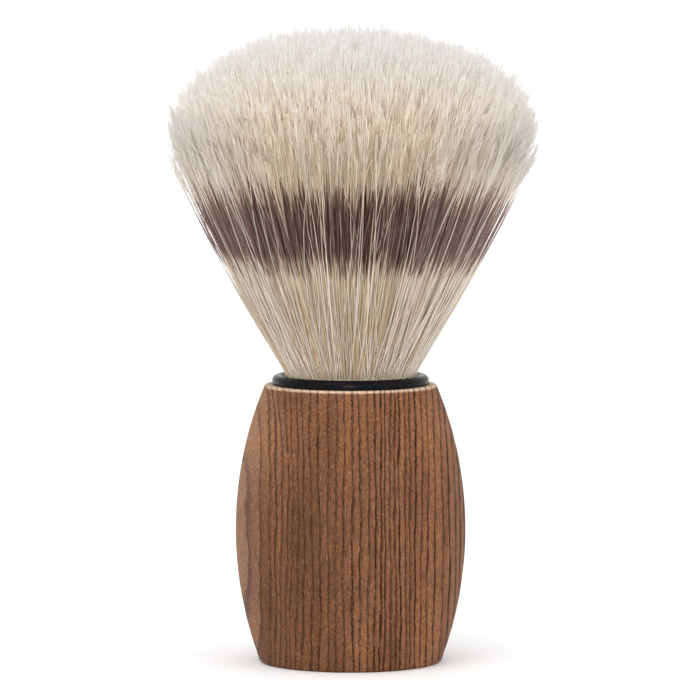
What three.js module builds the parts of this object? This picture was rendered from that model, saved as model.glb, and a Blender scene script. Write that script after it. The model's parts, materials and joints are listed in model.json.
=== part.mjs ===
// A shaving brush: a turned wooden handle, a black plastic ferrule glued into the handle's socket,
// and a fan-shaped knot of bristles tied and cast into the ferrule.
//
// Units are millimetres and +Z is up. The origin is the middle of the flat base, and the brush is
// round about the Z axis. The knot is split into locks, which splay outwards about the edge of the
// throat when the brush is pressed down. Each lock is its own solid.

import * as THREE from 'three';

// ---- Driving dimensions ----

const handleHeight = 45.6;
const bellyRadius = 18.85;
const bellyHeight = 21.8;
const bellyArcRadius = 61;
const baseRounding = 0.8;
const rimRounding = 0.4;

const socketRadius = 12.3;
const socketDepth = 17;

const ferruleRadius = 12;
const ferruleBore = 11;
const ferruleClearOfFloor = 0.9;
const beadRadius = 12.85;
const beadHeight = 1.6;

const waistRadius = 9.4;
const rootsAboveFerruleEnd = 3.4;
const waistHeight = 5.6;
const threadTurns = 5;
const threadDiameter = 0.8;
const resinHeight = 11.5;

const throatHeight = 47.6;
const fanRadius = 30.6;
const fanShoulderHeight = 84.5;
const brushHeight = 104;
const domeRoundness = 2.25;
const fanBow = 0.7;

const touchGap = 0.05;
const lockGap = 0.3;
const roundSegments = 48;

const coreShare = 0.25;
const lockRings = [
  { name: 'inner', locks: 6, from: coreShare, to: 0.5, cells: [2, 4, 4], outerGap: lockGap },
  { name: 'middle', locks: 12, from: 0.5, to: 0.75, cells: [2, 2, 4], outerGap: lockGap },
  { name: 'outer', locks: 18, from: 0.75, to: 1, cells: [3, 2, 5], outerGap: 0 },
];

// ---- Heights and radii that follow from them ----

const socketFloor = handleHeight - socketDepth;
const ferruleEnd = socketFloor + ferruleClearOfFloor;
const rootsEnd = ferruleEnd + rootsAboveFerruleEnd;
const waistEnd = rootsEnd + waistHeight;
const resinTop = ferruleEnd + resinHeight;
const beadBottom = handleHeight + touchGap;
const beadTop = handleHeight + beadHeight;
const rootsTop = throatHeight - lockGap;
const bundleRadius = ferruleBore - touchGap;

// ---- Materials ----

const wood = new THREE.MeshStandardMaterial({ color: 0x8a5f44, roughness: 0.6, metalness: 0 });
const blackPlastic = new THREE.MeshStandardMaterial({ color: 0x121214, roughness: 0.22, metalness: 0 });
const glue = new THREE.MeshStandardMaterial({ color: 0xc9b889, roughness: 0.4, metalness: 0 });
const resin = new THREE.MeshStandardMaterial({ color: 0xb98f4e, roughness: 0.25, metalness: 0 });
const thread = new THREE.MeshStandardMaterial({ color: 0xe4ddcb, roughness: 0.9, metalness: 0 });
const bristle = new THREE.MeshStandardMaterial({ color: 0xcdbda9, roughness: 0.7, metalness: 0 });

// ---- Ways to make a solid ----

// Turns an outline of [radius, height] pairs about Z. The outline runs anticlockwise, with the
// radius to the right and the height up.
function turned(outline, segments = roundSegments) {
  const points = outline.map(([radius, height]) => new THREE.Vector2(radius, height));
  return new THREE.LatheGeometry(points, segments).rotateX(Math.PI / 2);
}

// Points on an arc in the plane of radius and height, from one angle to another in degrees.
function arc(centre, radius, fromAngle, toAngle, steps) {
  const points = [];
  for (let step = 0; step <= steps; step += 1) {
    const angle = THREE.MathUtils.degToRad(THREE.MathUtils.lerp(fromAngle, toAngle, step / steps));
    points.push([centre[0] + radius * Math.cos(angle), centre[1] + radius * Math.sin(angle)]);
  }
  return points;
}

// A closed block with curved faces, each a net of flat cells. place(a, b, c) gives the point at
// three shares from 0 to 1, and a, b and c follow the right-hand rule.
function curvedBlock(cells, place) {
  const positions = [];
  const indices = [];
  for (let axis = 0; axis < 3; axis += 1) {
    const across = (axis + 1) % 3;
    const along = (axis + 2) % 3;
    for (const side of [0, 1]) {
      const first = positions.length / 3;
      for (let row = 0; row <= cells[along]; row += 1) {
        for (let column = 0; column <= cells[across]; column += 1) {
          const shares = [0, 0, 0];
          shares[axis] = side;
          shares[across] = column / cells[across];
          shares[along] = row / cells[along];
          positions.push(...place(...shares));
        }
      }
      const rowLength = cells[across] + 1;
      for (let row = 0; row < cells[along]; row += 1) {
        for (let column = 0; column < cells[across]; column += 1) {
          const corner = first + row * rowLength + column;
          const ahead = corner + 1;
          const above = corner + rowLength;
          const opposite = above + 1;
          if (side === 1) {
            indices.push(corner, ahead, opposite, corner, opposite, above);
          } else {
            indices.push(corner, opposite, ahead, corner, above, opposite);
          }
        }
      }
    }
  }
  const geometry = new THREE.BufferGeometry();
  geometry.setAttribute('position', new THREE.Float32BufferAttribute(positions, 3));
  geometry.setIndex(indices);
  return geometry;
}

const brush = new THREE.Group();

function addPiece(name, geometry, material) {
  const mesh = new THREE.Mesh(geometry, material);
  mesh.name = name;
  brush.add(mesh);
}

// ---- Handle: the side is one long arc, with softened edges and a blind socket for the ferrule ----

function sideRadius(height) {
  const fromBelly = height - bellyHeight;
  return bellyRadius - bellyArcRadius + Math.sqrt(bellyArcRadius ** 2 - fromBelly ** 2);
}

function handleOutline() {
  const sideSteps = 12;
  const outline = [[0, 0]];
  const baseCentre = [sideRadius(baseRounding) - baseRounding, baseRounding];
  outline.push(...arc(baseCentre, baseRounding, -90, -15, 3));
  for (let step = 1; step <= sideSteps; step += 1) {
    const height = THREE.MathUtils.lerp(baseRounding, handleHeight - rimRounding, step / sideSteps);
    outline.push([sideRadius(height), height]);
  }
  const rimCentre = [sideRadius(handleHeight - rimRounding) - rimRounding, handleHeight - rimRounding];
  outline.push(...arc(rimCentre, rimRounding, 45, 90, 1));
  outline.push([socketRadius, handleHeight], [socketRadius, socketFloor], [0, socketFloor]);
  return outline;
}

addPiece('handle', turned(handleOutline()), wood);

// ---- Glue: a bed on the socket's floor and a thin wall up round the ferrule ----

addPiece('socket_adhesive', turned([
  [0, socketFloor + touchGap],
  [socketRadius - touchGap, socketFloor + touchGap],
  [socketRadius - touchGap, handleHeight - touchGap],
  [ferruleRadius + touchGap, handleHeight - touchGap],
  [ferruleRadius + touchGap, ferruleEnd - touchGap],
  [0, ferruleEnd - touchGap],
]), glue);

// ---- Ferrule: an open sleeve in the socket, with a round bead that covers the socket's edge ----

function ferruleOutline() {
  const beadRound = (beadRadius - ferruleBore) / 2;
  const beadCentre = [beadRadius - beadRound, beadTop - beadRound];
  return [
    [ferruleBore, ferruleEnd],
    [ferruleRadius, ferruleEnd],
    [ferruleRadius, beadBottom],
    [beadRadius, beadBottom],
    ...arc(beadCentre, beadRound, 0, 180, 8),
    [ferruleBore, ferruleEnd],
  ];
}

addPiece('ferrule_collar', turned(ferruleOutline()), blackPlastic);

// ---- Roots: the bundle's lower end, drawn in to a waist where it is tied ----

addPiece('bristle_roots', turned([
  [0, rootsEnd],
  [waistRadius, rootsEnd],
  [waistRadius, waistEnd],
  [bundleRadius, resinTop + waistHeight / 2],
  [bundleRadius, rootsTop],
  [0, rootsTop],
]), bristle);

// ---- Thread: turns of thread side by side round the waist ----

function threadOutline() {
  const inside = waistRadius + touchGap;
  const windingHeight = threadTurns * threadDiameter;
  const bottom = (rootsEnd + waistEnd - windingHeight) / 2;
  const outline = [[inside, bottom + windingHeight], [inside, bottom]];
  for (let turn = 0; turn < threadTurns; turn += 1) {
    const middle = bottom + (turn + 0.5) * threadDiameter;
    outline.push([inside + threadDiameter / 2, middle - threadDiameter / 2]);
    outline.push([inside + threadDiameter, middle]);
  }
  outline.push([inside + threadDiameter / 2, bottom + windingHeight]);
  outline.push([inside, bottom + windingHeight]);
  return outline;
}

addPiece('binding_thread', turned(threadOutline()), thread);

// ---- Resin: fills the ferrule under and round the tied roots ----

const resinInside = waistRadius + threadDiameter + 2 * touchGap;

addPiece('resin_plug', turned([
  [0, ferruleEnd],
  [bundleRadius, ferruleEnd],
  [bundleRadius, resinTop],
  [resinInside, resinTop],
  [resinInside, rootsEnd - touchGap],
  [0, rootsEnd - touchGap],
]), resin);

// ---- Knot ----

// A bristle's course: share is 0 for a bristle on the axis and 1 on the outside of the knot, and
// rise is 0 at the throat and 1 at its tip. The tips lie on a dome, and the outermost bristles bow.
function bristlePoint(share, rise) {
  const domeHeight = brushHeight - fanShoulderHeight;
  const tipHeight = fanShoulderHeight + domeHeight * (1 - share ** domeRoundness) ** (1 / domeRoundness);
  const straightRadius = THREE.MathUtils.lerp(bundleRadius * share, fanRadius * share, rise);
  return {
    radius: straightRadius + fanBow * share * Math.sin(Math.PI * rise),
    height: THREE.MathUtils.lerp(throatHeight, tipHeight, rise),
  };
}

function coreLock() {
  const steps = 4;
  const outline = [[0, throatHeight]];
  for (let step = 0; step <= steps; step += 1) {
    const { radius, height } = bristlePoint(coreShare, step / steps);
    outline.push([radius - lockGap / 2, height]);
  }
  const halfway = bristlePoint(coreShare / 2, 1);
  outline.push([halfway.radius, halfway.height], [0, brushHeight]);
  return turned(outline, roundSegments / 2);
}

// One lock of a ring. Its sides are flat and point at the axis, half a gap back from the true
// division, and its inner and outer faces stand back from the next ring in the same way.
function ringLock(ring, middleAngle) {
  return curvedBlock(ring.cells, (outward, round, rise) => {
    const towardsOutside = Math.sin(outward * Math.PI / 2);
    const share = THREE.MathUtils.lerp(ring.from, ring.to, towardsOutside);
    const standBack = THREE.MathUtils.lerp(lockGap / 2, -ring.outerGap / 2, towardsOutside);
    const point = bristlePoint(share, rise);
    const radius = point.radius + standBack;
    const halfAngle = Math.PI / ring.locks - lockGap / 2 / radius;
    const angle = middleAngle + THREE.MathUtils.lerp(-halfAngle, halfAngle, round);
    return [radius * Math.cos(angle), radius * Math.sin(angle), point.height];
  });
}

addPiece('core_bristle_lock', coreLock(), bristle);

for (const ring of lockRings) {
  for (let lock = 0; lock < ring.locks; lock += 1) {
    const number = String(lock + 1).padStart(2, '0');
    const middleAngle = (lock + 0.5) * 2 * Math.PI / ring.locks;
    addPiece(`${ring.name}_bristle_lock_${number}`, ringLock(ring, middleAngle), bristle);
  }
}

export default brush;
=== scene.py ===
"""Looks for the shaving brush: turned wood, a black plastic ferrule and a knot of separate bristles.

Lengths named _MM are in millimetres and everything handed to Blender is in metres. +Z runs up the
brush towards the bristle tips, and the camera looks along +Y.
"""

import json
import math

import bpy
import numpy as np
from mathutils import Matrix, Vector

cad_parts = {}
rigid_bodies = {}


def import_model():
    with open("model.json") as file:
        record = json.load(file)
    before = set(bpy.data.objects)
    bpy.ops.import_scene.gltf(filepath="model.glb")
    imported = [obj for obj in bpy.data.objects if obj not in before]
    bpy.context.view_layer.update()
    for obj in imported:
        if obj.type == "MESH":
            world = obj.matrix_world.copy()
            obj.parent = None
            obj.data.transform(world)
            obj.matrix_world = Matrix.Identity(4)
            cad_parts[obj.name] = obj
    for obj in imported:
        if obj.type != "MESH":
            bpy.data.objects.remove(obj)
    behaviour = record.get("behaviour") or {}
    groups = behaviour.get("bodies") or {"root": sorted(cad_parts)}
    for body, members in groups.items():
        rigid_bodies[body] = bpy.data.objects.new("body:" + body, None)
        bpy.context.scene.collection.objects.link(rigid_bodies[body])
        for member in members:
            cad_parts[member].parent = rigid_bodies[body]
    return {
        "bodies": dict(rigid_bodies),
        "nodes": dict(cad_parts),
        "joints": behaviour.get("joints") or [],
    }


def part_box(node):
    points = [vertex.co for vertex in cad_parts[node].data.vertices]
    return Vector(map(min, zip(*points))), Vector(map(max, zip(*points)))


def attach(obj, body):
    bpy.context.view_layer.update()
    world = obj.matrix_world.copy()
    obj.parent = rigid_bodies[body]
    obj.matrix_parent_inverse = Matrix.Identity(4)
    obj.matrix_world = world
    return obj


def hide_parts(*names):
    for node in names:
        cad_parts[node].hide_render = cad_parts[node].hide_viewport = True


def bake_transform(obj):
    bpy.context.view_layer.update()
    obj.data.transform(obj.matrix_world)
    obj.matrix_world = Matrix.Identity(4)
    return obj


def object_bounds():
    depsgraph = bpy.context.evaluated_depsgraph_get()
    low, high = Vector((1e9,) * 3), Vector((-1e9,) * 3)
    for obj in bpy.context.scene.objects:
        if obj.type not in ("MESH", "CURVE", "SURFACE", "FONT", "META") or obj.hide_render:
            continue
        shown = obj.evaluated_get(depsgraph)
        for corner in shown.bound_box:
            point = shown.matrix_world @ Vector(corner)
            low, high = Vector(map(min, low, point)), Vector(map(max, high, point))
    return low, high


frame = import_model()
cad_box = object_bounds()

MM = 0.001
ROOT_BODY = "handle"
SEED = 7
FULL_TURN = 2 * math.pi

# ---- Sizes that follow the CAD model ----

HANDLE_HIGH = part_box("handle")[1]
BEAD_LOW, BEAD_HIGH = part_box("ferrule_collar")
HANDLE_HEIGHT_MM = HANDLE_HIGH.z / MM
BELLY_RADIUS_MM = HANDLE_HIGH.x / MM
BELLY_HEIGHT_MM = 21.8
BELLY_ARC_MM = 61.0
BASE_ROUNDING_MM = 0.8
RIM_ROUNDING_MM = 0.45
SOCKET_RADIUS_MM = 12.3
SOCKET_FLOOR_MM = HANDLE_HEIGHT_MM - 17.0
TOUCH_GAP_MM = 0.05

BEAD_RADIUS_MM = BEAD_HIGH.x / MM
BEAD_TOP_MM = BEAD_HIGH.z / MM
SLEEVE_END_MM = BEAD_LOW.z / MM
SLEEVE_RADIUS_MM = 12.0
BORE_RADIUS_MM = 11.0

# The knot's sizes hold for the middle lines of its bristles, which bow less than the CAD model's locks.
THROAT_HEIGHT_MM = frame["joints"][0]["pos_m"][2] / MM
THROAT_RADIUS_MM = 10.8
FAN_RADIUS_MM = 30.9
SHOULDER_HEIGHT_MM = 84.5
BRUSH_HEIGHT_MM = cad_box[1].z / MM
DOME_ROUNDNESS = 2.3
FAN_BOW_MM = 0.35

# Each ring of locks with the shares of the knot's radius that it lies between.
RINGS = (("inner", 0.25, 0.5), ("middle", 0.5, 0.75), ("outer", 0.75, 1.0))


# ---- Camera: a long lens, a little above the handle and looking slightly down ----

AIM_HEIGHT_MM = 51.19
ASIDE_MM = -0.1
CAMERA_DISTANCE_MM = 944.0
CAMERA_PITCH = math.radians(4.7)
VIEW_WIDTH_MM = 114.5
SENSOR_MM = 36.0
CLIP_START = 0.01
CLIP_END = 100


def make_camera():
    data = bpy.data.cameras.new("camera")
    data.sensor_width = SENSOR_MM
    data.lens = SENSOR_MM * CAMERA_DISTANCE_MM / VIEW_WIDTH_MM
    data.clip_start = CLIP_START
    data.clip_end = CLIP_END
    camera = bpy.data.objects.new("camera", data)
    bpy.context.scene.collection.objects.link(camera)
    back = Vector((0, -math.cos(CAMERA_PITCH), math.sin(CAMERA_PITCH)))
    camera.location = Vector((ASIDE_MM * MM, 0, AIM_HEIGHT_MM * MM)) + back * CAMERA_DISTANCE_MM * MM
    camera.rotation_mode = "QUATERNION"
    camera.rotation_quaternion = (-back).to_track_quat("-Z", "Y")
    bpy.context.scene.camera = camera


make_camera()


# ---- Colours ----


def rgb(red, green, blue):
    """A display colour from 0 to 255 as the linear colour that a shader takes."""

    def linear(value):
        value /= 255
        return value / 12.92 if value <= 0.04045 else ((value + 0.055) / 1.055) ** 2.4

    return (linear(red), linear(green), linear(blue), 1.0)


def grey(value):
    return (value, value, value, 1.0)


# ---- Node trees ----


class Nodes:
    """A material's node tree, with a short call for each kind of node used here."""

    def __init__(self, name):
        self.material = bpy.data.materials.new(name)
        self.material.use_nodes = True
        self.tree = self.material.node_tree
        self.shader = self.tree.nodes["Principled BSDF"]

    def add(self, kind, **settings):
        made = self.tree.nodes.new(kind)
        for name, value in settings.items():
            setattr(made, name, value)
        return made

    def put(self, socket, value):
        """Links a socket, or sets a plain number, vector or colour."""
        if isinstance(value, bpy.types.NodeSocket):
            self.tree.links.new(value, socket)
        else:
            socket.default_value = value

    def set(self, **values):
        """Sets the shader's own sockets: spaces in their names are written as underscores."""
        for name, value in values.items():
            self.put(self.shader.inputs[name.replace("_", " ")], value)

    def attribute(self, name, output="Fac"):
        return self.add("ShaderNodeAttribute", attribute_name=name).outputs[output]

    def position(self, across=1.0, up=1.0):
        """The place in millimetres, with its distances across the brush and up it stretched."""
        place = self.add("ShaderNodeTexCoord").outputs["Object"]
        mapping = self.add("ShaderNodeMapping")
        self.put(mapping.inputs["Vector"], place)
        self.put(mapping.inputs["Scale"], [across / MM, across / MM, up / MM])
        return mapping.outputs["Vector"]

    def noise(self, across, up, detail=3.0, roughness=0.5, distortion=0.0):
        """Noise from 0 to 1, with about that many waves a millimetre across the brush and up it."""
        made = self.add("ShaderNodeTexNoise")
        self.put(made.inputs["Vector"], self.position(across, up))
        self.put(made.inputs["Scale"], 1.0)
        self.put(made.inputs["Detail"], detail)
        self.put(made.inputs["Roughness"], roughness)
        self.put(made.inputs["Distortion"], distortion)
        return made.outputs["Fac"]

    def math(self, operation, a, b=0.0):
        made = self.add("ShaderNodeMath", operation=operation)
        for socket, value in zip(made.inputs, (a, b)):
            self.put(socket, value)
        return made.outputs[0]

    def plus(self, a, b):
        return self.math("ADD", a, b)

    def minus(self, a, b):
        return self.math("SUBTRACT", a, b)

    def times(self, a, b):
        return self.math("MULTIPLY", a, b)

    def span(self, value, low, high, to_low=0.0, to_high=1.0, kind="SMOOTHSTEP"):
        """Maps low..high to to_low..to_high, held at the ends."""
        made = self.add("ShaderNodeMapRange", interpolation_type=kind)
        for name, number in zip(("Value", "From Min", "From Max", "To Min", "To Max"),
                                (value, low, high, to_low, to_high)):
            self.put(made.inputs[name], number)
        return made.outputs[0]

    def mix(self, share, a, b, blend="MIX"):
        """Mixes two colours: sockets 6 and 7 are the node's colour sockets."""
        made = self.add("ShaderNodeMix", data_type="RGBA", blend_type=blend)
        self.put(made.inputs[0], share)
        self.put(made.inputs[6], a)
        self.put(made.inputs[7], b)
        return made.outputs[2]

    def shaded(self, colour, share, low, high):
        """The colour with its brightness times low where share is 0 and times high where it is 1."""
        return self.mix(1.0, colour, self.mix(share, grey(low), grey(high)), "MULTIPLY")

    def ramp(self, value, stops):
        """A colour ramp through (place, colour) stops."""
        made = self.add("ShaderNodeValToRGB")
        elements = made.color_ramp.elements
        while len(elements) < len(stops):
            elements.new(0.5)
        for element, (place, colour) in zip(elements, stops):
            element.position = place
            element.color = colour
        self.put(made.inputs["Fac"], value)
        return made.outputs["Color"]

    def split_colour(self, colour):
        made = self.add("ShaderNodeSeparateColor")
        self.put(made.inputs[0], colour)
        return made.outputs

    def split_position(self):
        made = self.add("ShaderNodeSeparateXYZ")
        self.put(made.inputs[0], self.position())
        return made.outputs

    def bump(self, height, depth_mm, strength=1.0):
        made = self.add("ShaderNodeBump")
        self.put(made.inputs["Height"], height)
        self.put(made.inputs["Distance"], depth_mm * MM)
        self.put(made.inputs["Strength"], strength)
        return made.outputs["Normal"]


# ---- Wood ----

# The growth ring whose edge shows as the long oval on the left of the handle. It and the rings before
# it are pale sapwood, and the rings are counted from left to right.
SAPWOOD_RING = 40

EARLYWOOD = rgb(102, 65, 41)
EARLYWOOD_BROAD = rgb(126, 84, 55)
EARLYWOOD_PALE = rgb(134, 91, 60)
LATEWOOD = rgb(26, 8, 2)
LATEWOOD_PALE = rgb(58, 26, 12)
SAPWOOD = rgb(158, 115, 86)
SAPWOOD_LINE = rgb(92, 62, 50)
OVAL_SHADE = rgb(100, 70, 62)
# Painted light: the upper left of the handle is painted paler, as if lit there.
LIT_UPPER_LEFT = rgb(170, 124, 90)
# The rim's paler end grain, with a painted highlight where light catches its rounded edge.
PALE_END_GRAIN_AND_HIGHLIGHT = rgb(230, 200, 172)

# A latewood line's darkness rises over the first width after the ring's start, then falls.
LINE_RISE_MM = 0.05
LINE_FALL_MM = (0.14, 0.56)
# Painted shade and light: the belly is painted darker and the ends lighter, out to these heights from it.
BELLY_SHADE_TO_END_LIGHT_MM = (6.0, 19.0)
LIT_UPPER_LEFT_HEIGHT_MM = (24.0, 40.0)


def latewood(n, phase, ring_tone, sapwood):
    """How dark each growth ring's latewood line is, from 0 to about 1. It comes and goes up the line."""
    past = n.times(n.math("FRACT", phase), n.attribute("ring_width"))
    rise = n.span(past, 0.0, LINE_RISE_MM)
    fall = n.span(past, *LINE_FALL_MM, 1.0, 0.0)
    line = n.times(rise, n.math("POWER", fall, 1.2))
    long_breaks = n.noise(1.1, 0.09, detail=2.0)
    dashes = n.noise(2.4, 0.5)
    strength = n.times(n.span(ring_tone, 0.0, 0.8, 0.72, 1.12, "LINEAR"),
                       n.span(long_breaks, 0.34, 0.54, 0.6, 1.0))
    strength = n.times(strength, n.span(dashes, 0.30, 0.48, 0.6, 1.0))
    to_right = n.span(phase, SAPWOOD_RING + 3.0, SAPWOOD_RING + 22.0, 0.72, 1.05)
    strength = n.times(strength, to_right)
    strength = n.times(strength, n.minus(1.0, n.times(sapwood, 0.4)))
    return n.times(line, strength)


def earlywood(n, phase, ring_tone, sapwood):
    """The colour of the wood between the lines: it varies from ring to ring and over the handle. It also
    holds painted light and shade: the upper left and the right are painted lighter, and the belly darker than
    the ends.
    """
    broad = n.noise(0.12, 0.03)
    colour = n.mix(n.span(broad, 0.35, 0.65), EARLYWOOD, EARLYWOOD_BROAD)
    colour = n.mix(n.span(ring_tone, 0.0, 1.0, 0.0, 0.5, "LINEAR"), colour, EARLYWOOD_PALE)
    oval = n.span(phase, SAPWOOD_RING - 0.1, SAPWOOD_RING + 0.05, 0.45, 0.0)
    colour = n.mix(n.plus(n.times(sapwood, 0.5), oval), colour, SAPWOOD)
    past_oval = n.times(n.span(phase, SAPWOOD_RING - 0.02, SAPWOOD_RING + 0.06),
                        n.span(phase, SAPWOOD_RING + 0.12, SAPWOOD_RING + 0.5, 0.9, 0.0))
    colour = n.mix(past_oval, colour, OVAL_SHADE)
    height = n.split_position()["Z"]
    # Painted light on the upper left of the handle.
    lit_upper_left = n.times(n.span(phase, SAPWOOD_RING, SAPWOOD_RING + 7.0, 0.6, 0.0),
                         n.span(height, *LIT_UPPER_LEFT_HEIGHT_MM))
    colour = n.mix(lit_upper_left, colour, LIT_UPPER_LEFT)
    # Painted shade on the belly, and painted light towards the top and the foot.
    from_belly = n.math("ABSOLUTE", n.minus(height, BELLY_HEIGHT_MM))
    colour = n.shaded(colour, n.span(from_belly, *BELLY_SHADE_TO_END_LIGHT_MM), 0.91, 1.095)
    # Painted light: the wood is painted lighter towards the right of the handle.
    to_right = n.span(phase, SAPWOOD_RING + 10.0, SAPWOOD_RING + 30.0, kind="LINEAR")
    return n.shaded(colour, to_right, 0.84, 1.12)


def wood_material():
    """Straight-grained softwood, brushed so that its thin dark latewood lines lie a little lower.
    ring_phase counts growth rings across the wood, ring_width is the width of each in millimetres, and
    rim is 1 on the rounded edge round the top, which is painted pale: partly its paler end grain, partly a
    painted highlight where light catches the edge."""
    n = Nodes("wood")
    jitter = n.noise(2.2, 0.9)
    phase = n.plus(n.attribute("ring_phase"), n.span(jitter, 0.3, 0.7, -0.07, 0.07, "LINEAR"))
    ring = n.add("ShaderNodeTexWhiteNoise", noise_dimensions="1D")
    n.put(ring.inputs["W"], n.math("FLOOR", phase))
    ring_tone = ring.outputs["Value"]
    sapwood = n.span(phase, SAPWOOD_RING + 0.97, SAPWOOD_RING + 1.0, 1.0, 0.0)
    late = latewood(n, phase, ring_tone, sapwood)

    fibre = n.noise(7.0, 0.35, detail=4.0, roughness=0.65)
    speckle = n.noise(4.0, 2.5, detail=5.0, roughness=0.75)
    early = earlywood(n, phase, ring_tone, sapwood)
    early = n.shaded(early, n.span(fibre, 0.32, 0.70), 0.58, 1.3)
    early = n.shaded(early, n.span(speckle, 0.34, 0.66), 0.56, 1.42)
    dark = n.mix(n.span(fibre, 0.3, 0.7), LATEWOOD, LATEWOOD_PALE)
    dark = n.mix(sapwood, dark, SAPWOOD_LINE)
    ringed = n.mix(late, early, dark)
    # The rim is painted pale: partly its paler end grain, partly a painted highlight along its rounded edge.
    rim_pale_and_lit = n.times(n.attribute("rim"), n.span(speckle, 0.36, 0.56, 0.35, 1.0))
    rim_pale_and_lit = n.times(rim_pale_and_lit, n.span(late, 0.2, 0.8, 1.0, 0.45))

    grain = n.plus(n.times(fibre, 0.5), n.times(speckle, 0.6))
    relief = n.minus(grain, n.times(late, 1.2))
    n.set(Base_Color=n.mix(rim_pale_and_lit, ringed, PALE_END_GRAIN_AND_HIGHLIGHT),
          Normal=n.bump(relief, 0.09, 0.8),
          Roughness=n.span(speckle, 0.3, 0.7, 0.55, 0.75),
          Specular_IOR_Level=0.14)
    return n.material


# ---- Ferrule plastic ----


def ferrule_material():
    """Polished black plastic with faint moulding ripple and rubbed patches."""
    n = Nodes("ferrule_black")
    ripple = n.noise(0.5, 0.5, detail=2.0)
    rubbed = n.noise(1.3, 2.5, detail=5.0, roughness=0.6)
    black = (0.004, 0.004, 0.0045, 1)
    rubbed_black = (0.009, 0.009, 0.010, 1)
    n.set(Base_Color=n.mix(n.span(rubbed, 0.45, 0.75), black, rubbed_black),
          Roughness=n.span(rubbed, 0.35, 0.7, 0.16, 0.32),
          Normal=n.bump(n.plus(ripple, n.times(rubbed, 0.15)), 0.03, 0.5),
          Specular_IOR_Level=0.065)
    return n.material


# ---- Bristle ----

# A bristle's cream runs through these by a random share of its own.
CREAMS = ((0.0, rgb(208, 184, 154)), (0.15, rgb(221, 202, 178)),
          (0.6, rgb(229, 215, 197)), (1.0, rgb(236, 229, 219)))
CREAM_YELLOW = rgb(238, 210, 166)
# Paler colours for the knot's left and right sides across the view: painted light.
CREAM_SIDE_LIGHT = rgb(232, 223, 216)
# Darker towards the throat: partly the bristles' own tan, partly painted shade deep in the knot.
LOWER_TAN_AND_SHADE = rgb(180, 158, 130)
LOWER_SIDE_LIGHT = rgb(198, 184, 168)
LOWER_RIGHT = rgb(226, 212, 194)
LOWER_YELLOW = rgb(196, 164, 118)
LOWER_GREY = rgb(212, 203, 196)
WHITE_END = rgb(228, 226, 225)
PALE_STRAND = rgb(222, 208, 199)
# Painted light: bristles inside the knot are painted lighter and warmer, for the light that passes through
# the bristles about them.
INNER_LIT = rgb(254, 236, 206)
INNER_LIT_SIDES = rgb(252, 241, 228)
INNER_LIT_YELLOW = rgb(250, 222, 178)
INNER_LIT_LOWER = rgb(214, 190, 158)
INNER_LIT_END = rgb(249, 244, 238)
# Painted shade just above the dyed band, paler on the knot's sides.
SHADE_ABOVE_BAND = rgb(202, 178, 148)
SHADE_ABOVE_BAND_SIDES = rgb(230, 217, 205)
# Painted shade: grey on the outermost tips at the knot's sides.
FRINGE_SHADE = rgb(176, 176, 178)
# Painted shade: grey on the tips of the bristles that stand proud.
PROUD_TIP_SHADE = rgb(192, 191, 190)
DYE = rgb(60, 36, 34)
DYE_WEAK = rgb(120, 90, 87)
# Paler dye: on the knot's sides it is painted light, on the right the bristles' own paler colour.
DYE_SIDE_LIGHT_AND_RIGHT = rgb(156, 131, 127)
DYE_STAIN = rgb(166, 128, 102)

# Distances along a bristle from the throat, over which its colour changes.
LOWER_TAN_AND_SHADE_MM = (12.0, 36.0)
YELLOW_FADE_MM = (36.0, 52.0)
WHITENING_MM = (43.0, 57.0)
PALE_STRAND_MM = (6.0, 36.0)
INNER_LIT_LOWER_MM = (6.0, 30.0)
SHADE_ABOVE_BAND_RISE_MM = (25.0, 33.0)
SHADE_ABOVE_BAND_FALL_MM = (36.0, 45.0)
# The dyed band's foot and head lie between these on different bristles, and each edge is blurred.
BAND_FOOT_MM = (18.2, 22.6)
BAND_HEAD_MM = (30.4, 35.4)
FOOT_BLUR_MM = 1.6
HEAD_BLUR_MM = 2.4
# Distances back from a bristle's tip.
INNER_LIT_TIP_MM = (1.0, 9.0)
FRINGE_SHADE_TIP_MM = 6.0
PROUD_TIP_SHADE_MM = (0.6, 2.6)


def cream_colour(n, reach, tone, kind, yellow, aside, right):
    """The undyed colour of a bristle below its white end. Towards the throat it is darker, partly its own tan
    and partly painted shade deep in the knot, and on the knot's sides it is paler with painted light.
    """
    cream = n.ramp(tone, CREAMS)
    cream = n.mix(yellow, cream, CREAM_YELLOW)
    # Painted light: paler on the knot's left and right sides.
    cream = n.mix(n.times(aside, 0.6), cream, CREAM_SIDE_LIGHT)
    lower = n.mix(aside, LOWER_TAN_AND_SHADE, LOWER_SIDE_LIGHT)
    lower = n.mix(n.times(right, 0.7), lower, LOWER_RIGHT)
    lower = n.mix(n.times(yellow, 0.9), lower, LOWER_YELLOW)
    lower = n.mix(n.span(kind, 0.55, 0.8, 0.0, 0.75), lower, LOWER_GREY)
    return n.mix(n.span(reach, *LOWER_TAN_AND_SHADE_MM, 0.95, 0.0), cream, lower)


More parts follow.
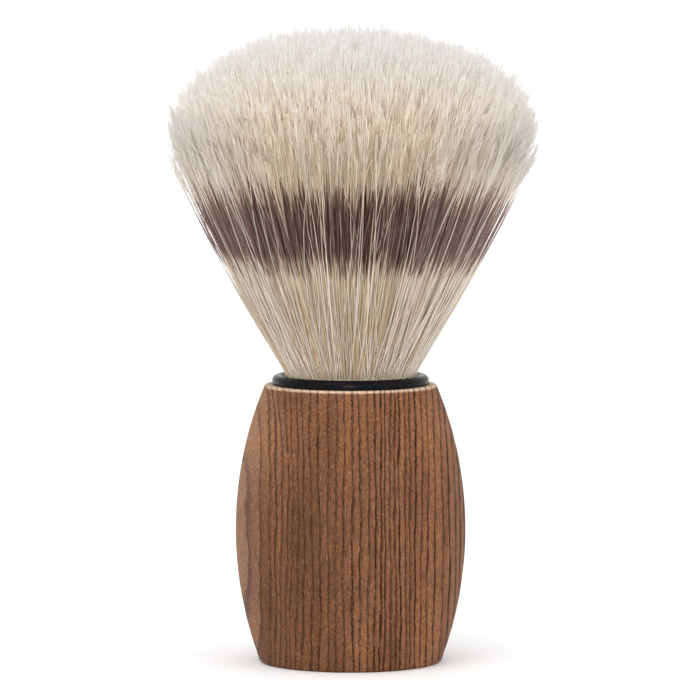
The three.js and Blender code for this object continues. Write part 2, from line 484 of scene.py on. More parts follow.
def natural_colour(n, reach, strand, undyed, streak, aside, right):
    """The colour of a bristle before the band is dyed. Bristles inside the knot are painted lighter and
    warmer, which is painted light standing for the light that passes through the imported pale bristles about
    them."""
    tone, _, kind = strand
    to_tip = n.attribute("to_tip")
    depth = n.attribute("depth")
    patch = n.noise(0.2, 0.06, detail=2.0)
    yellow = n.plus(n.attribute("warmth"), n.span(patch, 0.3, 0.7, -0.3, 0.3, "LINEAR"))
    # Less yellow on the knot's sides, with the painted light there.
    yellow = n.span(n.minus(yellow, n.times(aside, 0.3)), 0.15, 1.0, 0.0, 0.8)
    yellow = n.times(yellow, n.span(reach, *YELLOW_FADE_MM, 1.0, 0.3))
    whitening = n.span(reach, *WHITENING_MM)
    colour = n.mix(whitening, cream_colour(n, reach, tone, kind, yellow, aside, right), WHITE_END)
    pale_share = n.times(undyed, n.span(reach, *PALE_STRAND_MM, 0.4, 0.7))
    colour = n.mix(pale_share, colour, PALE_STRAND)

    # Painted light on the bristles inside the knot, less of it near their tips.
    inner_lit = n.times(n.span(depth, 0.92, 1.0, 0.9, 0.0, "LINEAR"),
                        n.span(to_tip, *INNER_LIT_TIP_MM, 0.6, 1.0))
    inner_light = n.mix(aside, INNER_LIT, INNER_LIT_SIDES)
    inner_light = n.mix(n.times(yellow, 0.6), inner_light, INNER_LIT_YELLOW)
    inner_light = n.mix(n.span(reach, *INNER_LIT_LOWER_MM, 0.8, 0.0), inner_light, INNER_LIT_LOWER)
    colour = n.mix(inner_lit, colour, n.mix(whitening, inner_light, INNER_LIT_END))

    # Painted shade between the bristles just above the band.
    shade_above_band = n.times(n.span(reach, *SHADE_ABOVE_BAND_FALL_MM, 0.5, 0.0), n.span(reach, *SHADE_ABOVE_BAND_RISE_MM))
    colour = n.mix(shade_above_band, colour, n.mix(aside, SHADE_ABOVE_BAND, SHADE_ABOVE_BAND_SIDES))
    # Painted shade on the outermost tips, at the knot's sides.
    fringe_shade = n.times(n.span(depth, 0.93, 0.99), n.span(to_tip, 0.0, FRINGE_SHADE_TIP_MM, 0.35, 0.0))
    colour = n.mix(n.times(fringe_shade, aside), colour, FRINGE_SHADE)
    # Painted shade on the tips of proud bristles.
    proud = n.times(n.span(n.attribute("proud"), 0.0, 1.0, 0.0, 0.4), n.span(to_tip, *PROUD_TIP_SHADE_MM, 1.0, 0.0))
    colour = n.mix(proud, colour, PROUD_TIP_SHADE)
    colour = n.shaded(colour, n.span(streak, 0.3, 0.7), 0.94, 1.0)
    packed = n.noise(5.0, 0.15)
    streaked = n.shaded(colour, n.span(packed, 0.36, 0.64), 0.78, 1.03)
    return n.mix(n.attribute("filling"), colour, streaked)


def band_share(n, reach, strand, undyed):
    """How strongly a bristle is dyed: 0 outside the band, and less than 1 in it on a pale bristle."""
    tone, shift, _ = strand
    foot = n.span(shift, 0.0, 1.0, *BAND_FOOT_MM, "LINEAR")
    head = n.plus(n.span(tone, 0.0, 1.0, *BAND_HEAD_MM, "LINEAR"), n.attribute("band_rise"))
    above_foot = n.span(n.minus(reach, foot), -FOOT_BLUR_MM, FOOT_BLUR_MM)
    below_head = n.span(n.minus(reach, head), -HEAD_BLUR_MM, HEAD_BLUR_MM, 1.0, 0.0)
    taken_up = n.minus(1.0, n.times(undyed, 0.46))
    return n.times(n.times(above_foot, below_head), taken_up)


def bristle_material():
    """Natural bristle: cream with a dark dyed band and pale tips. reach is the distance along the
    bristle from the throat in millimetres and to_tip the distance left to its tip. depth is 0 on the
    axis of the knot and 1 on its outside, proud is 1 on a bristle that stands above its neighbours,
    warmth is 1 in the yellower streaks of the knot, filling is 1 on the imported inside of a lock,
    band_rise lifts the head of the band in millimetres, and strand holds three random shares of each
    bristle."""
    n = Nodes("bristle")
    reach = n.attribute("reach")
    strand = list(n.split_colour(n.attribute("strand", "Color")))[:3]
    shift, kind = strand[1:]
    place = n.split_position()
    fan_radius = n.span(place["Z"], THROAT_HEIGHT_MM, SHOULDER_HEIGHT_MM, THROAT_RADIUS_MM,
                        FAN_RADIUS_MM, "LINEAR")
    across = n.math("DIVIDE", place["X"], fan_radius)
    # 1 on the knot's left and right sides across the view. The paler colours mixed in by it are painted
    # light, and the grey fringe there is painted shade.
    aside = n.span(n.math("ABSOLUTE", across), 0.3, 0.92)
    right = n.span(across, 0.2, 0.85)
    undyed = n.span(kind, 0.80, 0.86)
    streak = n.noise(1.5, 0.12)
    natural = natural_colour(n, reach, strand, undyed, streak, aside, right)

    band = band_share(n, reach, strand, undyed)
    dye = n.mix(shift, DYE, DYE_WEAK)
    # The dye is paler with painted light on the sides, and paler in its own colour on the right.
    dye = n.mix(n.plus(n.times(aside, 0.3), n.times(right, 0.25)), dye, DYE_SIDE_LIGHT_AND_RIGHT)
    stain = n.times(n.span(band, 0.0, 0.5, 0.0, 0.8), n.minus(1.0, undyed))
    stained = n.mix(stain, natural, DYE_STAIN)
    n.set(Base_Color=n.mix(n.span(band, 0.2, 1.0, kind="LINEAR"), stained, dye),
          Roughness=n.span(streak, 0.3, 0.7, 0.45, 0.6),
          Normal=n.bump(streak, 0.01, 0.3),
          Specular_IOR_Level=0.3,
          Subsurface_Weight=0.2,
          Subsurface_Radius=(1.0, 0.85, 0.7),
          Subsurface_Scale=0.3 * MM)
    return n.material


# ---- Materials inside the brush, and the floor's ----


def glue_material():
    n = Nodes("cured_glue")
    cloud = n.noise(0.6, 0.6, detail=4.0)
    n.set(Base_Color=n.mix(cloud, rgb(196, 176, 120), rgb(232, 218, 176)),
          Roughness=n.span(cloud, 0.3, 0.7, 0.25, 0.5),
          Normal=n.bump(cloud, 0.1, 0.4))
    return n.material


def resin_material():
    n = Nodes("cast_resin")
    cloud = n.noise(0.4, 0.4, distortion=0.6)
    n.set(Base_Color=n.mix(cloud, rgb(138, 92, 40), rgb(204, 158, 86)),
          Roughness=n.span(cloud, 0.3, 0.7, 0.12, 0.3),
          Normal=n.bump(cloud, 0.08, 0.3))
    return n.material


def thread_material():
    """Cotton thread: the plies lie aslant across each turn."""
    n = Nodes("cotton_thread")
    ply = n.add("ShaderNodeTexWave", wave_type="RINGS", rings_direction="Z", bands_direction="DIAGONAL")
    n.put(ply.inputs["Vector"], n.position())
    n.put(ply.inputs["Scale"], 1.4)
    n.put(ply.inputs["Distortion"], 2.0)
    lint = n.noise(6, 6)
    twist = n.plus(ply.outputs["Fac"], n.times(lint, 0.5))
    n.set(Base_Color=n.mix(n.span(twist, 0.3, 1.2), rgb(196, 184, 158), rgb(240, 234, 220)),
          Roughness=n.span(lint, 0.3, 0.7, 0.75, 0.95),
          Normal=n.bump(twist, 0.08, 0.7))
    return n.material


def roots_material():
    """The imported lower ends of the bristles, seen as fine stripes up the bundle."""
    n = Nodes("bristle_roots")
    stripe = n.noise(5, 0.05)
    n.set(Base_Color=n.mix(n.span(stripe, 0.35, 0.65), rgb(120, 98, 74), rgb(206, 188, 160)),
          Roughness=n.span(stripe, 0.3, 0.7, 0.5, 0.75),
          Normal=n.bump(stripe, 0.1, 0.8))
    return n.material


def floor_material():
    n = Nodes("pale_floor")
    mottle = n.noise(0.02, 0.02, detail=2.0)
    n.set(Base_Color=n.mix(mottle, grey(0.965), grey(0.985)),
          Roughness=0.8,
          Specular_IOR_Level=0.1)
    return n.material


# ---- Meshes ----


def mesh_object(name, vertices, faces, material, attributes=None):
    """An object from vertices in metres and a list of face arrays, each array with one face size.
    attributes holds a number, or four for a colour, for each vertex."""
    mesh = bpy.data.meshes.new(name)
    corners = np.concatenate([f.ravel() for f in faces]).astype(np.int32)
    sizes = np.concatenate([np.full(len(f), f.shape[1]) for f in faces]).astype(np.int32)
    mesh.vertices.add(len(vertices))
    mesh.vertices.foreach_set("co", np.asarray(vertices, np.float32).ravel())
    mesh.loops.add(len(corners))
    mesh.loops.foreach_set("vertex_index", corners)
    mesh.polygons.add(len(sizes))
    mesh.polygons.foreach_set("loop_start", np.concatenate([[0], np.cumsum(sizes)[:-1]]).astype(np.int32))
    mesh.polygons.foreach_set("use_smooth", np.ones(len(sizes), bool))
    for key, values in (attributes or {}).items():
        values = np.asarray(values, np.float32)
        kind = "FLOAT" if values.ndim == 1 else "FLOAT_COLOR"
        field = "value" if values.ndim == 1 else "color"
        mesh.attributes.new(key, kind, "POINT").data.foreach_set(field, values.ravel())
    mesh.update(calc_edges=True)
    mesh.validate()
    mesh.materials.append(material)
    made = bpy.data.objects.new(name, mesh)
    bpy.context.scene.collection.objects.link(made)
    return made


def revolve(profile, segments):
    """Vertices and faces of a solid turned about Z. profile is (radius, height) pairs, and it either
    starts and ends on the axis or is a closed loop without its first point repeated."""
    profile = np.asarray(profile, float)
    on_axis = profile[0][0] == 0 and profile[-1][0] == 0
    ring_points = profile[1:-1] if on_axis else profile
    count = len(ring_points)
    angles = np.arange(segments) * FULL_TURN / segments
    vertices = np.empty((segments, count, 3))
    vertices[:, :, 0] = np.cos(angles)[:, None] * ring_points[None, :, 0]
    vertices[:, :, 1] = np.sin(angles)[:, None] * ring_points[None, :, 0]
    vertices[:, :, 2] = ring_points[None, :, 1]
    vertices = vertices.reshape(-1, 3)
    here = np.arange(segments)[:, None] * count
    ahead = (np.arange(segments)[:, None] + 1) % segments * count
    lower = np.arange(count - 1 if on_axis else count)[None, :]
    upper = (lower + 1) % count
    quads = np.stack([here + lower, ahead + lower, ahead + upper, here + upper], -1).reshape(-1, 4)
    if not on_axis:
        return vertices, [quads]
    bottom, top = len(vertices), len(vertices) + 1
    vertices = np.vstack([vertices, [0, 0, profile[0][1]], [0, 0, profile[-1][1]]])
    here, ahead = here.ravel(), ahead.ravel()
    under = np.stack([np.full(segments, bottom), ahead, here], -1)
    over = np.stack([np.full(segments, top), here + count - 1, ahead + count - 1], -1)
    return vertices, [quads, under, over]


def arc(centre, radius, start, stop, steps):
    """(radius, height) points on an arc, between two angles in degrees."""
    angles = np.radians(np.linspace(start, stop, steps))
    return np.stack([centre[0] + radius * np.cos(angles), centre[1] + radius * np.sin(angles)], -1)


def unit(vectors):
    return vectors / np.linalg.norm(vectors, axis=-1, keepdims=True)


def outward_from_axis(bearing):
    return np.stack([np.cos(bearing), np.sin(bearing), np.zeros(len(bearing))], -1)


# ---- Handle ----

HANDLE_SEGMENTS = 720
SIDE_STEPS = 64
BASE_STEPS = 14
RIM_STEPS = 4
EDGE_STEPS = 6
# How far down from the top the rim is painted pale: end grain and painted highlight.
RIM_PALE_MM = 0.35

GRAIN_BEARING = math.radians(8)
RING_CURVE_MM = 140.0
GROOVE_MM = 0.03
GROOVE_END_MM = 0.4
GROOVE_FALL_MM = 0.3
FIRST_RING_MM = -17.8
FIRST_RING_REACH_MM = 0.9
RING_STEP_MM = 0.02
# Ring widths across the wood, in millimetres, each at that distance across.
RING_WIDTHS = ((-19.0, 2.1), (-16.0, 2.1), (-14.6, 1.0), (-13.0, 0.8), (-9.6, 1.0), (-7.0, 1.4), (2.0, 1.25),
               (3.4, 0.8), (7.6, 0.8), (9.6, 1.05), (13.5, 1.35), (15.4, 1.0), (19.0, 1.1))


def side_radius(height):
    return BELLY_RADIUS_MM - BELLY_ARC_MM + np.sqrt(BELLY_ARC_MM ** 2 - (height - BELLY_HEIGHT_MM) ** 2)


def handle_profile():
    base = (side_radius(BASE_ROUNDING_MM) - BASE_ROUNDING_MM, BASE_ROUNDING_MM)
    rim_height = HANDLE_HEIGHT_MM - RIM_ROUNDING_MM
    rim = (side_radius(rim_height) - RIM_ROUNDING_MM, rim_height)
    heights = np.linspace(BASE_ROUNDING_MM, rim_height, SIDE_STEPS)[1:-1]
    return np.vstack([
        np.linspace((0, 0), (base[0], 0), BASE_STEPS)[:-1],
        arc(base, BASE_ROUNDING_MM, -90, -10, EDGE_STEPS),
        np.stack([side_radius(heights), heights], -1),
        arc(rim, RIM_ROUNDING_MM, 0, 90, EDGE_STEPS),
        np.linspace((rim[0], HANDLE_HEIGHT_MM), (SOCKET_RADIUS_MM, HANDLE_HEIGHT_MM), RIM_STEPS)[1:],
        [(SOCKET_RADIUS_MM, SOCKET_FLOOR_MM), (0, SOCKET_FLOOR_MM)],
    ])


def growth_rings(points):
    """The ring that each point in millimetres lies in, counted across the wood, and that ring's width.
    The rings are curved and waver up the handle, and the first one's edge wavers more."""
    x, y, z = points.T
    across = x * math.cos(GRAIN_BEARING) + y * math.sin(GRAIN_BEARING)
    along = y * math.cos(GRAIN_BEARING) - x * math.sin(GRAIN_BEARING)
    across = across + along ** 2 / (2 * RING_CURVE_MM)
    waver = 0.11 * np.sin(z / 6.5 + across * 0.55) + 0.07 * np.sin(z / 2.3 + across * 1.9)
    waver *= np.interp(across, [-12, 2], [1.5, 0.9])
    waver += 0.10 * np.sin(z / 13.0 - across * 0.9 + y * 0.12) + 0.04 * np.sin(z / 0.9 + across * 3.1)
    across = across + waver
    at_first = np.exp(-((across - FIRST_RING_MM) / FIRST_RING_REACH_MM) ** 2)
    across = across + at_first * (0.13 * np.sin(z / 1.9 + 1) + 0.05 * np.sin(z / 0.8))
    steps = np.arange(-24, 24, RING_STEP_MM)
    width = np.interp(steps, *zip(*RING_WIDTHS))
    width = width * (1 + 0.14 * np.sin(steps * 2.9) + 0.10 * np.sin(steps * 5.3 + 2.0))
    count = np.cumsum(RING_STEP_MM / width)
    phase = np.interp(across, steps, count - np.interp(FIRST_RING_MM, steps, count)) + SAPWOOD_RING
    return phase, np.interp(across, steps, width)


def make_handle(material):
    """The turned handle, with a shallow groove brushed along each latewood line on its side."""
    vertices, faces = revolve(handle_profile(), HANDLE_SEGMENTS)
    phase, width = growth_rings(vertices)
    past = phase % 1 * width
    groove = np.clip(past / LINE_RISE_MM, 0, 1)
    groove = groove * np.clip((GROOVE_END_MM - past) / GROOVE_FALL_MM, 0, 1) ** 1.5
    height = vertices[:, 2]
    rim = np.clip((height - HANDLE_HEIGHT_MM + RIM_ROUNDING_MM) / RIM_PALE_MM, 0, 1)
    on_side = (height > BASE_ROUNDING_MM) & (height < HANDLE_HEIGHT_MM - TOUCH_GAP_MM)
    radius = np.hypot(vertices[:, 0], vertices[:, 1])
    on_side &= radius > SOCKET_RADIUS_MM + 0.5
    sunk = 1 - GROOVE_MM * groove * on_side / (radius + 1e-9)
    vertices[:, :2] *= sunk[:, None]
    handle = mesh_object("turned_handle", vertices * MM, faces, material, {
        "ring_phase": phase, "ring_width": width, "rim": rim})
    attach(handle, ROOT_BODY)
    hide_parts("handle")


# ---- Ferrule ----

FERRULE_SEGMENTS = 256
FOOT_ROUNDING_MM = 0.15
FOOT_STEPS = 4
BEAD_STEPS = 24


def make_ferrule(material):
    bead_mm = (BEAD_RADIUS_MM - BORE_RADIUS_MM) / 2
    centre = (BEAD_RADIUS_MM - bead_mm, BEAD_TOP_MM - bead_mm)
    foot = HANDLE_HEIGHT_MM + TOUCH_GAP_MM
    foot_centre = (BEAD_RADIUS_MM - FOOT_ROUNDING_MM, foot + FOOT_ROUNDING_MM)
    profile = np.vstack([
        [(BORE_RADIUS_MM, SLEEVE_END_MM), (SLEEVE_RADIUS_MM, SLEEVE_END_MM), (SLEEVE_RADIUS_MM, foot)],
        arc(foot_centre, FOOT_ROUNDING_MM, -90, 0, FOOT_STEPS),
        arc(centre, bead_mm, 0, 180, BEAD_STEPS),
    ])
    vertices, faces = revolve(profile, FERRULE_SEGMENTS)
    ferrule = mesh_object("ferrule_ring", vertices * MM, faces, material)
    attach(ferrule, ROOT_BODY)
    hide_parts("ferrule_collar")


# ---- Bristles: each is a closed tube, its shaft, with a few thinner ones for its split end ----

BRISTLES = 12500
TUBE_SIDES = 3
SHAFT_STEPS = 8
FLAG_STEPS = 3
FLAGS = 5
SHAFT_RADIUS_MM = 0.087
FLAG_RADIUS_MM = 0.043
THICKNESS_RANGE = (0.8, 1.15)
PALE_THICKNESS = 1.08
# A shaft's radius as a share of its full one, at these shares of its length.
TAPER = ((0, 0.75, 1), (1.0, 0.9, 0.4))
FLAG_TAPER = 0.5
GOLDEN_ANGLE = math.pi * (3 - math.sqrt(5))
BELOW_THROAT_MM = 1.4

# Pale bristles take little dye and stray most. Proud ones stand above the dome, loose ones lean
# sideways, short ones end below the dome, and strays bow out from the outside of the fan.
PALE_SHARE = 0.17
PROUD_SHARE = 0.18
LOOSE_SHARE = 0.3
SHORT_SHARE = 0.07
STRAYS = 60
STRAYS_OUTSIDE = 0.97
PROUD_MM = (0.4, 2.0)
SHORT_MM = 6
STRAY_BOW = (0.1, 0.6)
WANDER_MM = {"pale": 5.6, "loose": 4.8, "other": 2.2}
BEND_MM = {"pale": 1.6, "other": 0.5}

LEAN_MM = 0.35
BEARING_SCATTER = 0.012
TIP_SHARE_SCATTER = 0.01
LARGEST_TIP_SHARE = 1.01
TRIM_MM = -1.75
TRIM_SCATTER_MM = 0.5
TUFT_MM = 0.45
# The outermost bristles bow further out, from this share on, and in full after this much more.
BOWED_FROM = 0.88
BOWED_OVER = 0.1
OUTSIDE_BOW_MM = 0.3
# Sideways waves along a shaft: how many there are, and how far they swing in millimetres.
SWAYS = ((0.8, 0.25), (2.1, 0.07))

FLAG_LENGTH_MM = (3.0, 8.0)
FLAG_SPREAD_MM = 0.7
PROUD_SPREAD = 0.45
FLAG_CURL = 0.35
FLAG_TRIM_MM = (-0.9, 0.6)

BAND_SWELL_MM = 0.8
BAND_RIPPLE_MM = 0.5

# Each lock is packed: a solid filling stands for the bristles too deep in it to be told apart. Its top
# lies this far below the tips inside the knot and at the filling's outer edge.
FILLING_BELOW_TIPS_MM = (4.6, 6.5)
FILLING_SLOPES_FROM = 0.6
FILLING_SHARE = 0.93
FILLING_STEPS = 10
FILLING_COLOURED_BY = 0.92
# The ribs' width at the tips, and how far in the grooves go, as a share of the way to the middle.
RIB_MM = 0.5
GROOVE_SHARE = 0.06


def knot_point(share, bearing):
    """Where a bristle of that share of the fan's radius ends on the dome."""
    share = np.clip(share, 0, 1)
    dome = (1 - share ** DOME_ROUNDNESS) ** (1 / DOME_ROUNDNESS)
    height = SHOULDER_HEIGHT_MM + (BRUSH_HEIGHT_MM - SHOULDER_HEIGHT_MM) * dome
    radius = FAN_RADIUS_MM * share
    return np.stack([radius * np.cos(bearing) + LEAN_MM, radius * np.sin(bearing), height], -1)


def throat_point(share, bearing):
    """Where a bristle of that share of the throat's radius leaves the ferrule."""
    root = outward_from_axis(bearing) * (THROAT_RADIUS_MM * share)[:, None]
    root[:, 2] = THROAT_HEIGHT_MM
    return root


def tubes(points, radii):
    """Closed tubes along points[tube, step] with radii[tube, step]. Returns the vertices as
    [tube, step, side] and the faces."""
    count, steps = radii.shape
    ahead = unit(np.gradient(points, axis=1))
    aside = unit(np.cross(ahead, np.roll(ahead, 1, axis=-1) + [0.3, 0.5, 0.1]))
    above = np.cross(ahead, aside)
    angles = np.arange(TUBE_SIDES) * FULL_TURN / TUBE_SIDES
    across = (aside[:, :, None] * np.cos(angles)[:, None] + above[:, :, None] * np.sin(angles)[:, None])
    vertices = points[:, :, None] + across * radii[:, :, None, None]
    tube = np.arange(count)[:, None, None] * steps * TUBE_SIDES
    step = np.arange(steps - 1)[None, :, None] * TUBE_SIDES
    side = np.arange(TUBE_SIDES)[None, None, :]
    following = (side + 1) % TUBE_SIDES
    first, second = tube + step + side, tube + step + following
    quads = np.stack([first, second, second + TUBE_SIDES, first + TUBE_SIDES], -1).reshape(-1, 4)
    start = tube[:, 0] + np.arange(TUBE_SIDES)[None, ::-1]
    end = tube[:, 0] + (steps - 1) * TUBE_SIDES + np.arange(TUBE_SIDES)[None, :]
    return vertices, [quads, start, end]


def scattered_tips(rng, share, bearing, pale):
    """Where each bristle would end on the dome if they were all cut to it."""
    tip_share = share + rng.normal(0, TIP_SHARE_SCATTER, BRISTLES)
    tip_share = np.where(tip_share > LARGEST_TIP_SHARE, 2 * LARGEST_TIP_SHARE - tip_share, tip_share)
    loose = rng.random(BRISTLES) < LOOSE_SHARE
    wander = np.where(pale, WANDER_MM["pale"], np.where(loose, WANDER_MM["loose"], WANDER_MM["other"]))
    swing = rng.normal(0, 1.0, BRISTLES) * wander
    return knot_point(tip_share, bearing + swing / (FAN_RADIUS_MM * np.clip(share, 0.2, 1)))


def trims(rng, tip):
    """How much longer each bristle is than to the dome, in millimetres, and which are proud."""
    trim = rng.normal(TRIM_MM, TRIM_SCATTER_MM, BRISTLES)
    trim -= np.where(rng.random(BRISTLES) < SHORT_SHARE, rng.random(BRISTLES) * SHORT_MM, 0)
    tufts = np.sin(2.6 * tip[:, 0] + 1.1 * tip[:, 1]) * np.sin(2.3 * tip[:, 1] - 1.4 * tip[:, 0] + 1.0)
    tufts += 0.7 * np.sin(4.3 * tip[:, 0] - 1.9 * tip[:, 1] + 2.0) * np.sin(1.1 * tip[:, 1] + 0.5 * tip[:, 0])
    trim += TUFT_MM * tufts
    proud = rng.random(BRISTLES) < PROUD_SHARE
    trim += proud * rng.uniform(*PROUD_MM, BRISTLES)
    return trim, proud


def bent_courses(rng, root, tip, share, bearing, pale, stray, run):
    """Each shaft's points at the shares of its length in run: bowed outwards, bent to one side and
    swaying."""
    course = root[:, None] + (tip - root)[:, None] * run[None, :, None]
    arch = np.sin(math.pi * run)[None, :, None]
    bow = FAN_BOW_MM * share * (1 + stray * rng.uniform(*STRAY_BOW, BRISTLES))
    on_outside = np.clip((share - BOWED_FROM) / BOWED_OVER, 0, 1)
    bow += on_outside * np.abs(rng.normal(0, OUTSIDE_BOW_MM, BRISTLES))
    course += outward_from_axis(bearing)[:, None] * bow[:, None, None] * arch
    around = np.stack([-np.sin(bearing), np.cos(bearing), np.zeros(BRISTLES)], -1)
    bend = rng.normal(0, 1.0, BRISTLES) * np.where(pale, BEND_MM["pale"], BEND_MM["other"]) * share
    course += around[:, None] * bend[:, None, None] * arch
    for turns, amount in SWAYS:
        sway = unit(rng.normal(size=(BRISTLES, 3))) * np.abs(rng.normal(0, amount, BRISTLES))[:, None]
        phase = rng.uniform(0, FULL_TURN, BRISTLES)
        wave = np.sin(FULL_TURN * turns * run[None] + phase[:, None]) * run[None] ** 0.6
        course += sway[:, None] * wave[:, :, None]
    return course


def bristle_courses(rng):
    """Every bristle's shaft as points in millimetres, with what the material and the locks need."""
    index = np.arange(BRISTLES)
    share = np.sqrt((index + 0.5) / BRISTLES)
    bearing = (index * GOLDEN_ANGLE + rng.normal(0, BEARING_SCATTER, BRISTLES)) % FULL_TURN
    strand = np.concatenate([rng.random((BRISTLES, 3)), np.ones((BRISTLES, 1))], 1)
    pale = strand[:, 2] > 1 - PALE_SHARE
    stray = np.zeros(BRISTLES, bool)
    stray[rng.choice(np.flatnonzero(share > STRAYS_OUTSIDE), STRAYS, replace=False)] = True

    root = throat_point(share, bearing)
    tip = scattered_tips(rng, share, bearing, pale)
    length = np.linalg.norm(tip - root, axis=1)
    trim, proud = trims(rng, tip)
    tip = root + (tip - root) * (1 + trim / length)[:, None]
    length = length + trim

    run = np.linspace(0, 1, SHAFT_STEPS - 1)
    course = bent_courses(rng, root, tip, share, bearing, pale, stray, run)
    below = course[:, :1] - [0, 0, BELOW_THROAT_MM]
    course = np.concatenate([below, course], 1)
    reach = np.concatenate([np.full((BRISTLES, 1), -BELOW_THROAT_MM), run[None] * length[:, None]], 1)
    band_rise = BAND_SWELL_MM * -np.cos(2 * bearing) + BAND_RIPPLE_MM * np.sin(5 * bearing + 1.0)
    warmth = 0.35 + 0.35 * np.sin(9 * bearing + 1.3) + 0.3 * np.sin(23 * bearing + 4.1)
    warmth += 0.3 * np.sin(41 * bearing + 9 * share)
    return {"share": share, "bearing": bearing, "course": course, "reach": reach, "length": length,
            "strand": strand, "pale": pale, "proud": proud, "band_rise": band_rise,
            "warmth": warmth}


def flag_courses(rng, knot, chosen):
    """The split ends of the chosen bristles: each flag leaves its shaft near the tip."""
    course, reach, length = knot["course"][chosen], knot["reach"][chosen], knot["length"][chosen]
    count = len(course)
    ahead = unit(course[:, -1] - course[:, -3])
    flag_length = rng.uniform(*FLAG_LENGTH_MM, count)
    run = np.linspace(0, 1, FLAG_STEPS)
    reach_at = length[:, None] - flag_length[:, None] * (1 - run[None])
    on_shaft = np.stack([
        np.stack([np.interp(reach_at[i], reach[i], course[i, :, axis]) for axis in range(3)], -1)
        for i in range(count)
    ])
    held_together = np.where(knot["proud"][chosen], PROUD_SPREAD, 1.0)[:, None]
    spread = rng.normal(0, FLAG_SPREAD_MM, (count, 3)) * held_together
    spread -= ahead * (spread * ahead).sum(-1, keepdims=True)
    ends = on_shaft + spread[:, None] * (run ** 1.6)[None, :, None]
    curl = np.cross(ahead, spread) * rng.normal(0, FLAG_CURL, (count, 1))
    ends += curl[:, None] * np.sin(math.pi * run)[None, :, None]
    trim = rng.uniform(*FLAG_TRIM_MM, count)
    ends += ahead[:, None] * (trim[:, None] * run[None] ** 2)[:, :, None]
    return ends, reach_at


def filling_outline(low, high, first, last):
    """A filling's outline as the shares and bearings of its points, anticlockwise from above. It is
    ribbed, and each rib stands for the outermost bristles: every second point lies in a groove."""
    high = min(high, FILLING_SHARE)
    if low == 0:
        corners = ((high, first), (high, last))
        sides = [corners]
    else:
        corners = ((high, first), (high, last), (low, last), (low, first))
        sides = zip(corners, corners[1:] + corners[:1])
    share, bearing = [], []
    for (from_share, from_bearing), (to_share, to_bearing) in sides:
        size = abs(to_share - from_share) + (from_share + to_share) / 2 * abs(to_bearing - from_bearing)
        ribs = max(1, round(size * FAN_RADIUS_MM / RIB_MM))
        run = np.arange(2 * ribs) / (2 * ribs)
        share.append(from_share + (to_share - from_share) * run)
        bearing.append(from_bearing + (to_bearing - from_bearing) * run)
    share, bearing = np.concatenate(share), np.concatenate(bearing)
    drawn_in = GROOVE_SHARE * (np.arange(len(share)) % 2)
    share += ((low + high) / 2 - share) * drawn_in
    if low > 0:
        bearing += ((first + last) / 2 - bearing) * drawn_in
    return share, bearing


def filling(low, high, first, last):
    """The filling of the lock between two shares and two bearings, or of the core if low is 0. Returns
    its vertices in millimetres, its faces, and the reach and the distance to the tips of each vertex."""
    share, bearing = filling_outline(low, high, first, last)
    root = throat_point(share, bearing)
    tip = knot_point(share, bearing)
    length = np.linalg.norm(tip - root, axis=1)
    below_tips = np.interp(share, (FILLING_SLOPES_FROM, FILLING_SHARE), FILLING_BELOW_TIPS_MM)
    rise = np.linspace(0, 1, FILLING_STEPS)[:, None] * (1 - below_tips / length)[None]
    points = root[None] + (tip - root)[None] * rise[:, :, None]
    bow = FAN_BOW_MM * share[None] * np.sin(math.pi * rise)
    points += outward_from_axis(bearing)[None] * bow[:, :, None]
    around = len(bearing)
    level = np.arange(FILLING_STEPS - 1)[:, None] * around
    here = np.arange(around)[None]
    ahead = (here + 1) % around
    sides = np.stack([level + here, level + ahead, level + ahead + around, level + here + around], -1)
    bottom = here[:, ::-1]
    top = here + (FILLING_STEPS - 1) * around
    reach = rise * length[None]
    faces = [sides.reshape(-1, 4), bottom, top]
    return points.reshape(-1, 3), faces, reach.ravel(), (length - reach).ravel()


def lock_rows(knot):
    """Every lock as (name, node, body, chosen, span). chosen marks its bristles, and span is its two
    shares and two bearings."""
    core = RINGS[0][1]
    rows = [("core_bristles", "core_bristle_lock", None, knot["share"] < core, (0, core, 0, FULL_TURN))]
    for ring, low, high in RINGS:
        in_ring = (knot["share"] >= low) & (knot["share"] < high)
        bodies = sorted(b for b in frame["bodies"] if b.startswith(ring + "_lock_"))
        number = (knot["bearing"] / FULL_TURN * len(bodies)).astype(int) % len(bodies)
        step = FULL_TURN / len(bodies)
        for k, body in enumerate(bodies):
            tag = body.rsplit("_", 1)[1]
            rows.append((f"{ring}_bristles_{tag}", f"{ring}_bristle_lock_{tag}", body,
                         in_ring & (number == k), (low, high, k * step, (k + 1) * step)))
    return rows


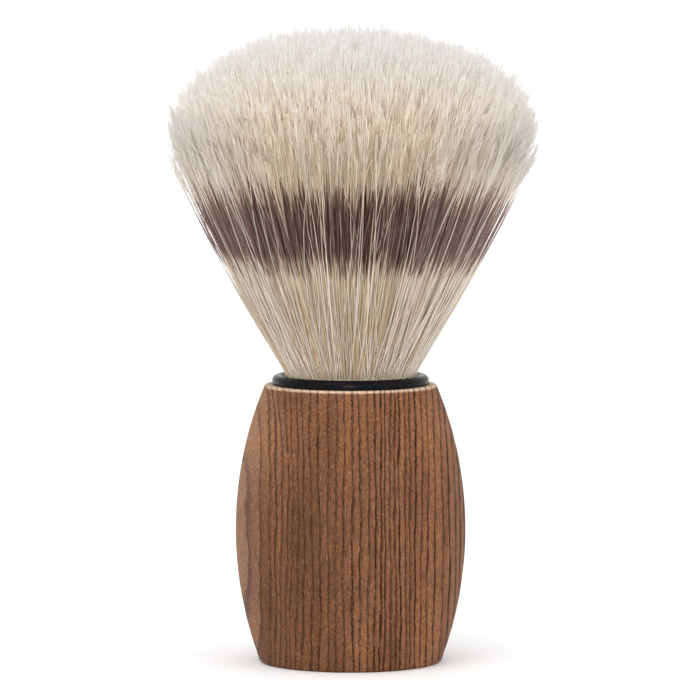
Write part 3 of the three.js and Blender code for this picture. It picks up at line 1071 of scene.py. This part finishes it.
def lock_piece(rng, name, knot, thickness, chosen, span, material):
    """One lock: the chosen bristles' shafts and flags, and the filling between them."""
    taper = np.interp(np.linspace(0, 1, SHAFT_STEPS), *TAPER)
    flag_taper = np.linspace(1, FLAG_TAPER, FLAG_STEPS)
    shaft_radii = SHAFT_RADIUS_MM * thickness[chosen][:, None] * taper[None]
    flag_radii = FLAG_RADIUS_MM * thickness[chosen][:, None] * flag_taper[None]
    strands = [(knot["course"][chosen], shaft_radii, knot["reach"][chosen])]
    for _ in range(FLAGS):
        ends, reach_at = flag_courses(rng, knot, chosen)
        strands.append((ends, flag_radii, reach_at))
    vertices, faces, reaches, to_tips, owners = [], [], [], [], []
    total = 0
    for points, radii, reach in strands:
        made, sides = tubes(points, radii)
        faces += [f + total for f in sides]
        vertices.append(made.reshape(-1, 3))
        reaches.append(np.repeat(reach.ravel(), TUBE_SIDES))
        to_tips.append(np.repeat((knot["length"][chosen][:, None] - reach).ravel(), TUBE_SIDES))
        owners.append(np.repeat(chosen, radii.shape[1] * TUBE_SIDES))
        total += len(vertices[-1])

    points, sides, reach, to_tip = filling(*span)
    faces += [f + total for f in sides]
    vertices.append(points)
    reaches.append(reach)
    to_tips.append(to_tip)
    inside = chosen[~knot["pale"][chosen] & (knot["share"][chosen] < FILLING_COLOURED_BY)]
    ribs = len(points) // FILLING_STEPS // 2
    owners.append(np.tile(np.repeat(np.resize(inside, ribs), 2), FILLING_STEPS))
    owner = np.concatenate(owners)
    return mesh_object(name, np.vstack(vertices) * MM, faces, material, {
        "reach": np.concatenate(reaches), "to_tip": np.concatenate(to_tips),
        "strand": knot["strand"][owner], "band_rise": knot["band_rise"][owner],
        "depth": knot["share"][owner], "proud": knot["proud"][owner],
        "warmth": knot["warmth"][owner],
        "filling": np.arange(len(owner)) >= total})


def make_bristles(material):
    rng = np.random.default_rng(SEED)
    knot = bristle_courses(rng)
    thickness = rng.uniform(*THICKNESS_RANGE, BRISTLES) * np.where(knot["pale"], PALE_THICKNESS, 1.0)
    for name, node, body, mask, span in lock_rows(knot):
        piece = lock_piece(rng, name, knot, thickness, np.flatnonzero(mask), span, material)
        if body is None:
            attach(piece, ROOT_BODY)
        else:
            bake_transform(piece)
        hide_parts(node)


# ---- Making the object ----

make_handle(wood_material())
make_ferrule(ferrule_material())
make_bristles(bristle_material())

INNER_MATERIALS = {
    "socket_adhesive": glue_material(),
    "resin_plug": resin_material(),
    "binding_thread": thread_material(),
    "bristle_roots": roots_material(),
}
for node_name, material in INNER_MATERIALS.items():
    frame["nodes"][node_name].data.materials.clear()
    frame["nodes"][node_name].data.materials.append(material)


# ---- Stage: pale floor, white surroundings and soft lights ----

FLOOR_RADIUS = 8.0
FLOOR_SIDES = 96
# The surroundings' brightness rises from the first to the second between these shares of the way
# from behind the camera to beyond the brush.
WORLD_STRENGTH = (0.4, 1.05)
WORLD_TOWARDS = (-1.0, -0.2)
# Each light's direction, strength and width in degrees.
SUNS = {
    "key": ((0.35, 0.7, -0.8), 0.76, 40),
    "fill": ((-0.7, 0.7, -0.4), 0.66, 60),
    "front": ((0.03, 1.0, -0.09), 1.3, 14),
    "top": ((0.0, 0.15, -1.0), 0.25, 40),
}


def make_floor():
    rim = outward_from_axis(np.arange(FLOOR_SIDES) * FULL_TURN / FLOOR_SIDES) * FLOOR_RADIUS
    floor = mesh_object("floor", rim, [np.arange(FLOOR_SIDES)[None]], floor_material())


def make_world():
    """White all round, dimmer where the camera stands, as a studio is. It is white to the camera."""
    world = bpy.data.worlds.new("studio")
    world.use_nodes = True
    tree = world.node_tree
    background = tree.nodes["Background"]
    place = tree.nodes.new("ShaderNodeTexCoord")
    split = tree.nodes.new("ShaderNodeSeparateXYZ")
    tree.links.new(place.outputs["Generated"], split.inputs[0])
    towards = tree.nodes.new("ShaderNodeMapRange")
    towards.interpolation_type = "SMOOTHSTEP"
    towards.inputs["From Min"].default_value, towards.inputs["From Max"].default_value = WORLD_TOWARDS
    towards.inputs["To Min"].default_value, towards.inputs["To Max"].default_value = WORLD_STRENGTH
    tree.links.new(split.outputs["Y"], towards.inputs["Value"])
    rays = tree.nodes.new("ShaderNodeLightPath")
    seen = tree.nodes.new("ShaderNodeMath")
    seen.operation = "MAXIMUM"
    tree.links.new(rays.outputs["Is Camera Ray"], seen.inputs[0])
    tree.links.new(towards.outputs[0], seen.inputs[1])
    background.inputs["Color"].default_value = (1, 1, 1, 1)
    tree.links.new(seen.outputs[0], background.inputs["Strength"])
    bpy.context.scene.world = world


def make_sun(name, direction, strength, width):
    light = bpy.data.lights.new(name, "SUN")
    light.energy = strength
    light.angle = math.radians(width)
    sun = bpy.data.objects.new(name, light)
    sun.rotation_mode = "QUATERNION"
    sun.rotation_quaternion = Vector(direction).to_track_quat("-Z", "Y")
    bpy.context.scene.collection.objects.link(sun)


make_floor()
make_world()
for sun_name, (direction, strength, width) in SUNS.items():
    make_sun(sun_name, direction, strength, width)
bpy.context.scene.view_settings.view_transform = "Standard"
